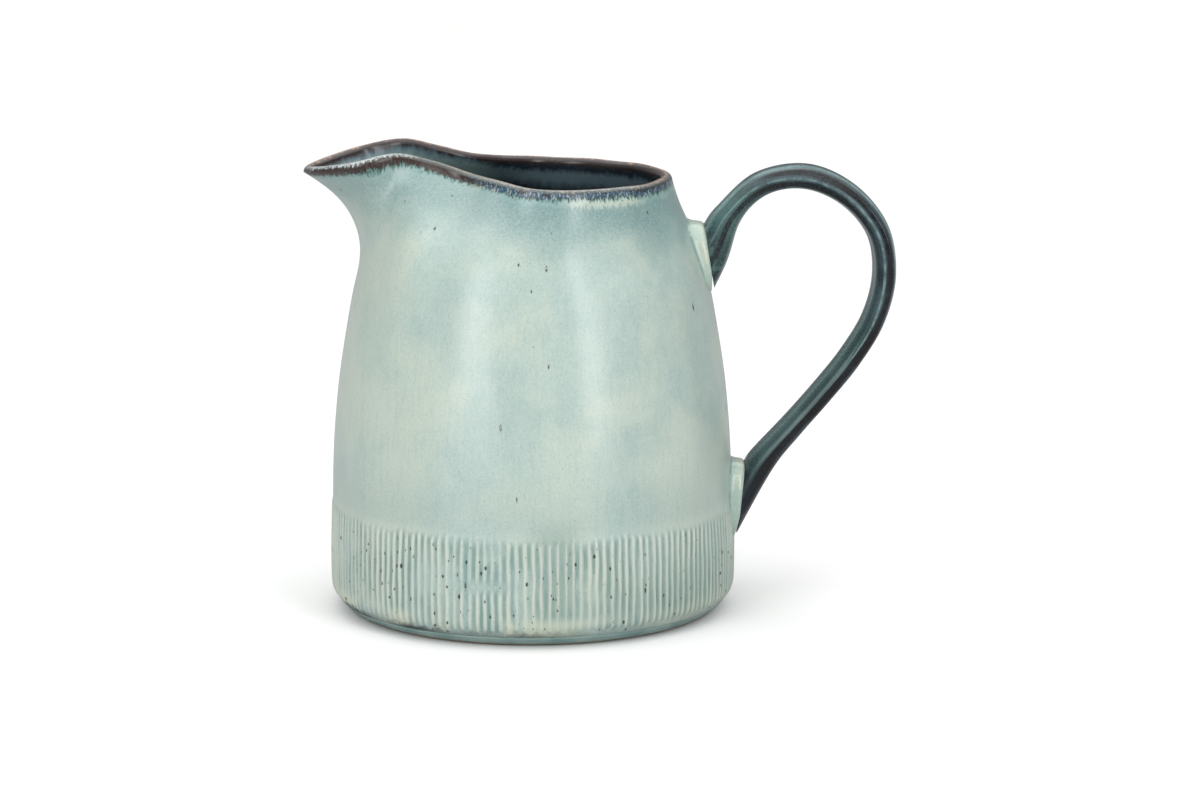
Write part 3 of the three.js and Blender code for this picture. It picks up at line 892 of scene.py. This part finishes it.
def body_glaze(c):
    """Celadon over the wall, broken on the ribs, iron and runs at the lip, dark inside."""
    material, shader, n, place = new_material("Celadon glaze")
    glaze = glaze_clouds(n, place, 0.032, 0.016)
    clouds, patches, grain, runs = (glaze[k] for k in ("Clouds", "Patches", "Grain", "Runs"))
    axes = n.add("ShaderNodeSeparateXYZ", {"Vector": place}).node.outputs
    x, y, z = (axes[k] for k in "XYZ")
    drop, rib, band, inner = (n.mark(k) for k in ("drop_mm", "rib", "band", "inner"))
    front = n.times(n.span(y, 4 * MM, -10 * MM), n.span(x, 43 * MM, 34 * MM))
    spout = n.span(x, -10 * MM, -24 * MM)
    bowl = n.span(x, -20 * MM, 0.0)

    # The main glaze, cloudier low down, bluer where it ran off the lip, with a band of painted
    # shade in mist blue just above the ribs.
    tint = n.blend(n.times(clouds, 0.42), c.celadon, c.cream)
    thick = n.times(patches, n.rest(clouds))
    tint = n.blend(n.times(thick, 0.35), tint, c.mist)
    wander = n.times_plus(n.noise(place, 14 * MM, 2.0), 14.0, drop)
    under_lip = n.times(n.span(wander, 40.0, 17.0), n.span(bowl, 0.0, 1.0, 0.72, 0.9))
    tint = n.blend(under_lip, tint, c.haze)
    # Painted shade: a darker, bluer band just above the ribs.
    shade_over_ribs = n.times(n.span(z, 37 * MM, 42 * MM), n.span(z, 62 * MM, 44 * MM))
    tint = n.blend(n.times(shade_over_ribs, 0.34), tint, c.mist)
    tint = n.blend(n.times(grain, 0.26), tint, c.ridge)
    salt = n.noise(place, 0.38 * MM, 2.0, 0.8)
    tint = n.blend(n.span(salt, 0.46, 0.66, 0.0, 0.26), tint, c.groove)
    tint = n.blend(n.times(n.span(runs, 0.4, 0.0), 0.09), tint, c.haze)
    fine_runs = n.noise(n.scaled(place, 1, 1, 0.45), 0.5 * MM, 3.0, 0.7)
    tint = n.blend(n.span(fine_runs, 0.6, 0.74, 0.0, 0.2), tint, c.groove)

    # Ribs: cream where they break the glaze, teal where it pools between them.
    pooled = n.times(band, n.span(rib, 0.34, 0.0))
    deep = n.span(n.noise(place, 16 * MM, 3.0), 0.36, 0.62, 0.16, 0.66)
    # More teal in the ribs towards the handle's side: painted shade over the pooled glaze.
    deep = n.math("MAXIMUM", deep, n.span(x, 22 * MM, 52 * MM, 0.0, 0.5))
    tint = n.blend(n.times(pooled, deep), tint, c.groove)

    # Thicker glaze: one broad run down the front. Teal on the foot on the handle's side: partly
    # glaze pooled in the ribs, partly painted shade.
    run_down = n.span(n.math("ABSOLUTE", n.math("SUBTRACT", x, 9 * MM)), 13 * MM, 2 * MM)
    run_down = n.times(run_down, n.span(y, 0.0, -30 * MM))
    run_down = n.times(run_down, n.span(z, 48 * MM, 34 * MM))
    right_foot_pool_and_shade = n.times(n.span(x, 10 * MM, 40 * MM), n.span(z, 34 * MM, 12 * MM))
    heavy_and_shaded = n.math("MAXIMUM", run_down, n.times(band, right_foot_pool_and_shade))
    tint = n.blend(n.times(heavy_and_shaded, 0.4), tint, c.groove)
    tint = n.blend(n.span(rib, 0.34, 0.85, 0.0, 0.62), tint, c.ridge)
    low = n.times(n.span(z, 12.5 * MM, 8 * MM), n.span(clouds, 0.15, 0.6))
    # Less cream towards the handle's side: painted shade.
    low = n.times(low, n.span(x, 5 * MM, 40 * MM, 0.65, 0.2))
    tint = n.blend(low, tint, c.cream)
    jag = n.noise(n.scaled(place, 1, 1, 0.15), 1.6 * MM, 2.0, 0.6)
    seam = n.times_plus(jag, 4.0 * MM, n.math("SUBTRACT", z, 2.0 * MM))
    uneven = n.span(n.noise(place, 30 * MM, 1.0), 0.36, 0.56, 0.45, 1.0)
    amount = n.times(uneven, n.span(x, 20 * MM, -15 * MM, 0.25, 0.95))
    tint = n.blend(n.times(n.span(seam, 6.8 * MM, 4.4 * MM), amount), tint, c.navy)

    # Iron specks, gathered here and there in the ribs, and a few pinholes that bled downwards.
    specks = iron_specks(n, place, 2.2, 0.42, 0.85, 1.7)
    gathered = n.span(n.noise(place, 15 * MM, 1.0), 0.38, 0.5, 0.0, 1.0)
    in_band = n.times(n.times(specks, gathered), n.span(z, 38 * MM, 31 * MM))
    pinholes = iron_specks(n, place, 5.5, 0.5, 0.4, 3.4)
    dust = iron_specks(n, place, 1.5, 0.19, 0.6, 1.3)
    iron = n.math("MAXIMUM", in_band, n.times(pinholes, n.span(grain, 0.1, 0.6)))
    tint = n.blend(n.times(dust, 0.42), tint, c.groove)
    tint = n.blend(n.times(iron, 0.92), tint, c.iron)

    # The lip. Streaks pull the edges of its bands down by different amounts.
    streak = n.noise(n.scaled(place, 1, 1, 0.16), 0.95 * MM, 3.0, 0.65)
    slow = n.noise(place, 21 * MM, 2.0)
    pulled = n.times_plus(n.math("SUBTRACT", streak, 0.5), 6.5, drop)
    pulled = n.times_plus(n.math("SUBTRACT", slow, 0.5), 4.0, pulled)
    bowl_lip = n.ramp(n.times(pulled, 0.1), (
        (0.0, c.amber), (0.06, c.brown), (0.15, c.brown), (0.21, c.navy), (0.3, c.lilac),
        (0.37, c.navy), (0.44, c.groove), (0.54, c.mist), (0.8, c.haze),
    ))
    # A pale line along the near side of the crest: partly thin pale glaze, partly a painted
    # highlight.
    crest_pale_and_highlight = n.times(front, n.span(pulled, 2.0, 0.4))
    bowl_lip = n.blend(n.times(crest_pale_and_highlight, 0.22), bowl_lip, c.drip)
    patch = n.times(n.span(x, 8 * MM, 18 * MM), n.span(x, 41 * MM, 33 * MM))
    patch = n.math("MAXIMUM", n.span(slow, 0.5, 0.6), patch)
    glow = n.times(n.span(pulled, 4.3, 5.3), patch)
    bowl_lip = n.blend(n.times(glow, 0.6), bowl_lip, c.cream)
    spout_lip = n.ramp(n.times(pulled, 0.1), (
        (0.0, c.amber), (0.05, c.brown), (0.46, c.brown), (0.55, c.groove), (0.68, c.mist),
        (0.8, c.mist),
    ))
    lip = n.blend(spout, bowl_lip, spout_lip)
    run = n.noise(n.scaled(place, 1, 1, 0.22), 0.7 * MM, 2.0, 0.6)
    drips = n.times(n.span(run, 0.52, 0.64), n.span(pulled, 1.6, 3.0))
    drips = n.times(drips, n.span(pulled, 5.2, 3.8))
    lip = n.blend(n.times(drips, n.span(spout, 0.0, 1.0, 0.4, 0.05)), lip, c.drip)
    # The same near the spout's tip: partly pale glaze, partly a painted highlight.
    tip_pale_and_highlight = n.times(n.span(x, -36 * MM, -44 * MM), n.span(pulled, 2.2, 1.0))
    tip_pale_and_highlight = n.times(n.times(tip_pale_and_highlight, front), n.span(run, 0.34, 0.48))
    lip = n.blend(n.times(tip_pale_and_highlight, 0.8), lip, c.drip)
    covers = n.times(n.span(pulled, 8.0, 5.6), n.rest(inner))
    tint = n.blend(covers, tint, lip)

    # Inside: brown under the lip, then ink, then a paler belt, then dark to the floor.
    streak = n.noise(n.scaled(place, 1, 1, 0.12), 2.4 * MM, 3.0, 0.6)
    sunk = n.times_plus(n.math("SUBTRACT", streak, 0.5), 5.0, drop)
    bowl_inside = n.ramp(n.times(sunk, 0.02), (
        (0.0, c.amber), (0.02, c.brown), (0.07, c.brown), (0.09, c.navy), (0.11, c.navy),
        (0.15, c.slate), (0.2, c.slate), (0.28, c.navy), (0.6, c.teal),
    ))
    spout_inside = n.ramp(n.times(sunk, 0.02), (
        (0.0, c.amber), (0.02, c.brown), (0.06, c.brown), (0.09, c.slate), (0.15, c.mist),
        (0.36, c.mist), (0.5, c.slate), (0.7, c.navy),
    ))
    inside = n.blend(spout, bowl_inside, spout_inside)
    inside = n.blend(n.times(grain, 0.16), inside, c.slate)
    tint = n.blend(n.span(inner, 0.3, 0.7), tint, inside)

    dullness = n.times_plus(iron, 0.3, n.times_plus(grain, 0.08, 0.28))
    raised = n.times(iron, -0.06 * MM)
    fire(n, shader, place, tint, dullness, 0.04, raised, coat=(0.42, 0.3))
    return material


def pad_glaze(c):
    """Cream glaze, thicker and greener towards the wall, with painted shade where it meets the
    wall.
    """
    material, shader, n, place = new_material("Pad glaze")
    glaze = glaze_clouds(n, place, 0.012, 0.008)
    seam = n.mark("seam")
    tint = n.blend(glaze["Clouds"], c.pad, c.pad_mint)
    tint = n.blend(n.span(seam, 0.35, 0.9), tint, c.pad_mint)
    tint = n.blend(n.times(glaze["Grain"], 0.2), tint, c.ridge)
    # Painted shade in the crease where the pad meets the wall.
    joint_shade = n.times(n.span(seam, 0.8, 0.95), n.span(glaze["Patches"], 0.2, 0.7, 0.45, 1.0))
    tint = n.blend(n.times(joint_shade, 0.6), tint, c.groove)
    specks = iron_specks(n, place, 4, 0.25, 0.4, 1.5)
    tint = n.blend(specks, tint, c.iron)
    dullness = n.times_plus(glaze["Grain"], 0.1, 0.2)
    raised = n.times(specks, -0.04 * MM)
    fire(n, shader, place, tint, dullness, 0.03, raised, coat=(0.35, 0.18))
    return material


def handle_glaze(c):
    """Deep teal, ink where it pools in the flutes, navy at the roots partly as painted shade, pale
    where it breaks on edges, and a painted reflection along the upper arm's top.
    """
    material, shader, n, place = new_material("Handle glaze")
    glaze = glaze_clouds(n, place, 0.016, 0.01)
    clouds, patches = glaze["Clouds"], glaze["Patches"]
    ridge, edge, flute, root = (n.mark(k) for k in ("ridge", "edge", "flute", "root"))
    outside, along = n.mark("outside"), n.mark("along")
    upper_arm, lower_arm = n.span(along, 0.62, 0.4), n.span(along, 0.5, 0.66)
    silver = n.span(n.noise(place, 0.55 * MM, 2.0, 0.7), 0.5, 0.72)

    tint = n.blend(n.span(clouds, 0.0, 1.0, 0.02, 0.36), c.teal, c.slate)
    tint = n.blend(n.times(n.span(along, 0.2, 0.06), 0.6), tint, c.groove)
    far = n.times(lower_arm, outside)
    tint = n.blend(n.times(far, n.span(clouds, 0.0, 1.0, 0.75, 0.4)), tint, c.ink)
    near = n.times(lower_arm, n.rest(outside))
    tint = n.blend(n.times(near, 0.26), tint, c.groove)
    # Pale along the upper arm's outer edge, which faces up: partly glaze broken on the edge, partly
    # a painted reflection of the light above.
    pale_edge_and_sheen = n.times(n.times(edge, outside), upper_arm)
    pale_edge_and_sheen = n.times(pale_edge_and_sheen, n.span(patches, 0.0, 1.0, 0.6, 1.0))
    inner_edge = n.times(n.math("SUBTRACT", edge, n.times(edge, outside)), 0.3)
    tint = n.blend(n.math("ADD", inner_edge, pale_edge_and_sheen), tint, c.teal_pale)
    broken = n.times(n.span(ridge, 0.5, 0.95), n.span(patches, 0.1, 0.9, 0.2, 0.55))
    tint = n.blend(broken, tint, c.teal_pale)
    pool = n.times(n.span(flute, 0.06, 0.5), n.span(patches, 0.0, 0.7, 0.75, 1.0))
    tint = n.blend(n.times(pool, 0.96), tint, c.ink)
    # Navy at both roots: partly glaze pooled where the strap meets its pads, partly painted contact
    # shade.
    root_pool_and_shade = n.times(root, n.span(patches, 0.2, 0.7, 0.25, 1.0))
    tint = n.blend(n.times(root_pool_and_shade, 0.85), tint, c.navy)
    silver = n.times(silver, n.span(along, 0.5, 0.3, 0.04, 0.16))
    tint = n.blend(silver, tint, c.teal_pale)
    dullness = n.times_plus(glaze["Grain"], 0.08, 0.24)
    fire(n, shader, place, tint, dullness, 0.03, coat=(0.1, 0.15))
    shader.inputs["Specular IOR Level"].default_value = 0.34
    return material


def base_clay(c, sizes):
    """Bare clay underneath, thin grey glaze on the rounded edge, dark glaze on the floor."""
    material, shader, n, place = new_material("Base clay")
    glaze = glaze_clouds(n, place, 0.015, 0.006)
    z = n.add("ShaderNodeSeparateXYZ", {"Vector": place}, "Z")
    clay = n.blend(n.times(glaze["Grain"], 0.5), c.clay, c.cream)
    clay = n.blend(n.times(glaze["Patches"], 0.35), clay, c.brown)
    specks = iron_specks(n, place, 2.2, 0.22, 0.4, 1.0)
    clay = n.blend(n.times(specks, 0.8), clay, c.iron)
    line = n.times_plus(glaze["Patches"], 0.3 * MM, z)
    glazed = n.span(line, 1.05 * MM, 1.3 * MM)
    edge = n.blend(glaze["Clouds"], c.celadon, c.mist)
    # Darker teal up the rounded edge towards the wall: painted shade under the wall's seat.
    edge = n.blend(n.span(z, 0.8 * MM, sizes.rim_thickness, 0.1, 0.4), edge, c.groove)
    inside = n.blend(n.times(glaze["Clouds"], 0.3), c.navy, c.slate)
    tint = n.blend(glazed, clay, edge)
    inner = n.mark("inner")
    tint = n.blend(n.span(inner, 0.4, 0.6), tint, inside)
    bare = n.rest(n.math("MAXIMUM", glazed, inner))
    raised = n.times(n.times(glaze["Grain"], bare), 0.05 * MM)
    fire(n, shader, place, tint, n.times_plus(bare, 0.5, 0.26), 0.03, raised)
    return material


def floor_paint(c):
    material, shader, n, place = new_material("Floor paint")
    tone = n.span(n.noise(place, 0.4, 2.0), 0.3, 0.7)
    n.feed(shader.inputs["Base Color"], n.blend(n.times(tone, 0.3), c.floor, (1, 1, 1)))
    shader.inputs["Roughness"].default_value = 0.9
    shader.inputs["Specular IOR Level"].default_value = 0.1
    dim = n.add("ShaderNodeBsdfDiffuse", {"Color": (0.28, 0.29, 0.3)}, "BSDF")
    path = n.add("ShaderNodeLightPath").node.outputs
    mirrored = n.times(path["Is Glossy Ray"], 0.75)
    lit = n.times_plus(path["Is Diffuse Ray"], 0.5, mirrored)
    mixed = n.add("ShaderNodeMixShader", {0: lit, 1: shader.outputs[0], 2: dim}, 0)
    output = next(x for x in material.node_tree.nodes if x.type == "OUTPUT_MATERIAL")
    n.feed(output.inputs["Surface"], mixed)
    return material


# ---- Stage -----------------------------------------------------------------------------


def build_stage(colours):
    """A pale floor, a pale sky, soft lights, and the camera."""
    scene = bpy.context.scene
    reach, count = 6.0, 12
    line = np.linspace(-reach, reach, count + 1)
    grid = np.array([(x, y, 0.0) for y in line for x in line])
    across = count + 1
    faces = [
        (r * across + k, r * across + k + 1, (r + 1) * across + k + 1, (r + 1) * across + k)
        for r in range(count)
        for k in range(count)
    ]
    mesh = bpy.data.meshes.new("floor")
    mesh.from_pydata(grid.tolist(), [], faces)
    mesh.materials.append(floor_paint(colours))
    floor = bpy.data.objects.new("floor", mesh)
    scene.collection.objects.link(floor)

    world = bpy.data.worlds.new("Studio")
    scene.world = world
    world.use_nodes = True
    n = Nodes(world.node_tree)
    background = world.node_tree.nodes["Background"]
    seen = n.add("ShaderNodeLightPath", None, "Is Camera Ray")
    n.feed(background.inputs["Color"], (0.98, 0.99, 1.0))
    n.feed(background.inputs["Strength"], n.times_plus(seen, 0.72, 0.28))

    middle = Vector((0.0, 0.0, 0.085))
    for name, azimuth, distance, height, width, tall, power in (
        ("left_softbox", -33, 1.5, 0.55, 0.75, 1.3, 11.0),
        ("right_softbox", 36, 1.5, 0.55, 0.55, 1.3, 9.5),
    ):
        light = bpy.data.lights.new(name, "AREA")
        light.shape = "RECTANGLE"
        light.size, light.size_y, light.energy = width, tall, power
        lamp = bpy.data.objects.new(name, light)
        a = azimuth * DEG
        lamp.location = (distance * math.sin(a), -distance * math.cos(a), height)
        lamp.rotation_euler = (middle - lamp.location).to_track_quat("-Z", "Y").to_euler()
        scene.collection.objects.link(lamp)

    ceiling = bpy.data.lights.new("ceiling", "SUN")
    ceiling.energy, ceiling.angle = 2.6, 100 * DEG
    lamp = bpy.data.objects.new("ceiling", ceiling)
    lamp.rotation_euler = (-6 * DEG, 0, 0)
    scene.collection.objects.link(lamp)

    camera = bpy.data.cameras.new("camera")
    camera.sensor_width = 36.0
    camera.lens = 116.23
    eye = bpy.data.objects.new("camera", camera)
    eye.location = (0.02354, -1.32505, 0.32198)
    eye.rotation_euler = (79.322 * DEG, 0, 0)
    scene.collection.objects.link(eye)
    scene.camera = eye
    scene.view_settings.view_transform = "Standard"


# ---- Operators and panel ---------------------------------------------------------------


def fits(piece, *nodes):
    """Raises an error if the piece is over 2.5 mm bigger than the CAD nodes it stands for."""
    slack = 2.5 * MM
    corners = np.array([v.co for v in piece.data.vertices])
    low = np.min([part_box(node)[0] for node in nodes], axis=0) - slack
    high = np.max([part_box(node)[1] for node in nodes], axis=0) + slack
    if (corners < low).any() or (corners > high).any():
        raise RuntimeError(f"{piece.name} reaches past the model of {', '.join(nodes)}")


class JUG_OT_body(bpy.types.Operator):
    """Throw the glazed wall with its ribs and pouring lip"""

    bl_idname = "jug.body"
    bl_label = "Throw body"

    def execute(self, context):
        piece = build_body(context.scene.jug_sizes, context.scene.jug_colours)
        fits(piece, "jug_body")
        return {"FINISHED"}


class JUG_OT_base(bpy.types.Operator):
    """Turn the base disc and the floor inside"""

    bl_idname = "jug.base"
    bl_label = "Turn base"

    def execute(self, context):
        build_base(context.scene.jug_sizes, context.scene.jug_colours)
        return {"FINISHED"}


class JUG_OT_pads(bpy.types.Operator):
    """Press on the two pads that carry the handle"""

    bl_idname = "jug.pads"
    bl_label = "Press pads"

    def execute(self, context):
        for piece in build_pads(context.scene.jug_sizes, context.scene.jug_colours):
            fits(piece, *piece["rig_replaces"])
        return {"FINISHED"}


class JUG_OT_handle(bpy.types.Operator):
    """Pull the strap handle and set it on its pads"""

    bl_idname = "jug.handle"
    bl_label = "Pull handle"

    def execute(self, context):
        piece = build_handle(context.scene.jug_sizes, context.scene.jug_colours)
        fits(piece, "handle")
        return {"FINISHED"}


class JUG_OT_stage(bpy.types.Operator):
    """Set the floor, the lights and the camera"""

    bl_idname = "jug.stage"
    bl_label = "Set stage"

    def execute(self, context):
        build_stage(context.scene.jug_colours)
        return {"FINISHED"}


OPERATORS = (JUG_OT_body, JUG_OT_base, JUG_OT_pads, JUG_OT_handle, JUG_OT_stage)


class JUG_PT_panel(bpy.types.Panel):
    """Sizes, colours and steps of the jug"""

    bl_label = "Stoneware jug"
    bl_space_type = "VIEW_3D"
    bl_region_type = "UI"
    bl_category = "Jug"

    def draw(self, context):
        for operator in OPERATORS:
            self.layout.operator(operator.bl_idname)
        for settings in (context.scene.jug_sizes, context.scene.jug_colours):
            box = self.layout.box()
            for name in type(settings).__annotations__:
                box.prop(settings, name)


CLASSES = (JugSizes, JugColours, *OPERATORS, JUG_PT_panel)


def register():
    for cls in CLASSES:
        bpy.utils.register_class(cls)
    bpy.types.Scene.jug_sizes = PointerProperty(type=JugSizes)
    bpy.types.Scene.jug_colours = PointerProperty(type=JugColours)


def unregister():
    del bpy.types.Scene.jug_sizes
    del bpy.types.Scene.jug_colours
    for cls in reversed(CLASSES):
        bpy.utils.unregister_class(cls)


def main():
    register()
    bpy.ops.jug.body()
    bpy.ops.jug.base()
    bpy.ops.jug.pads()
    bpy.ops.jug.handle()
    bpy.ops.jug.stage()


if __name__ == "__main__":
    main()
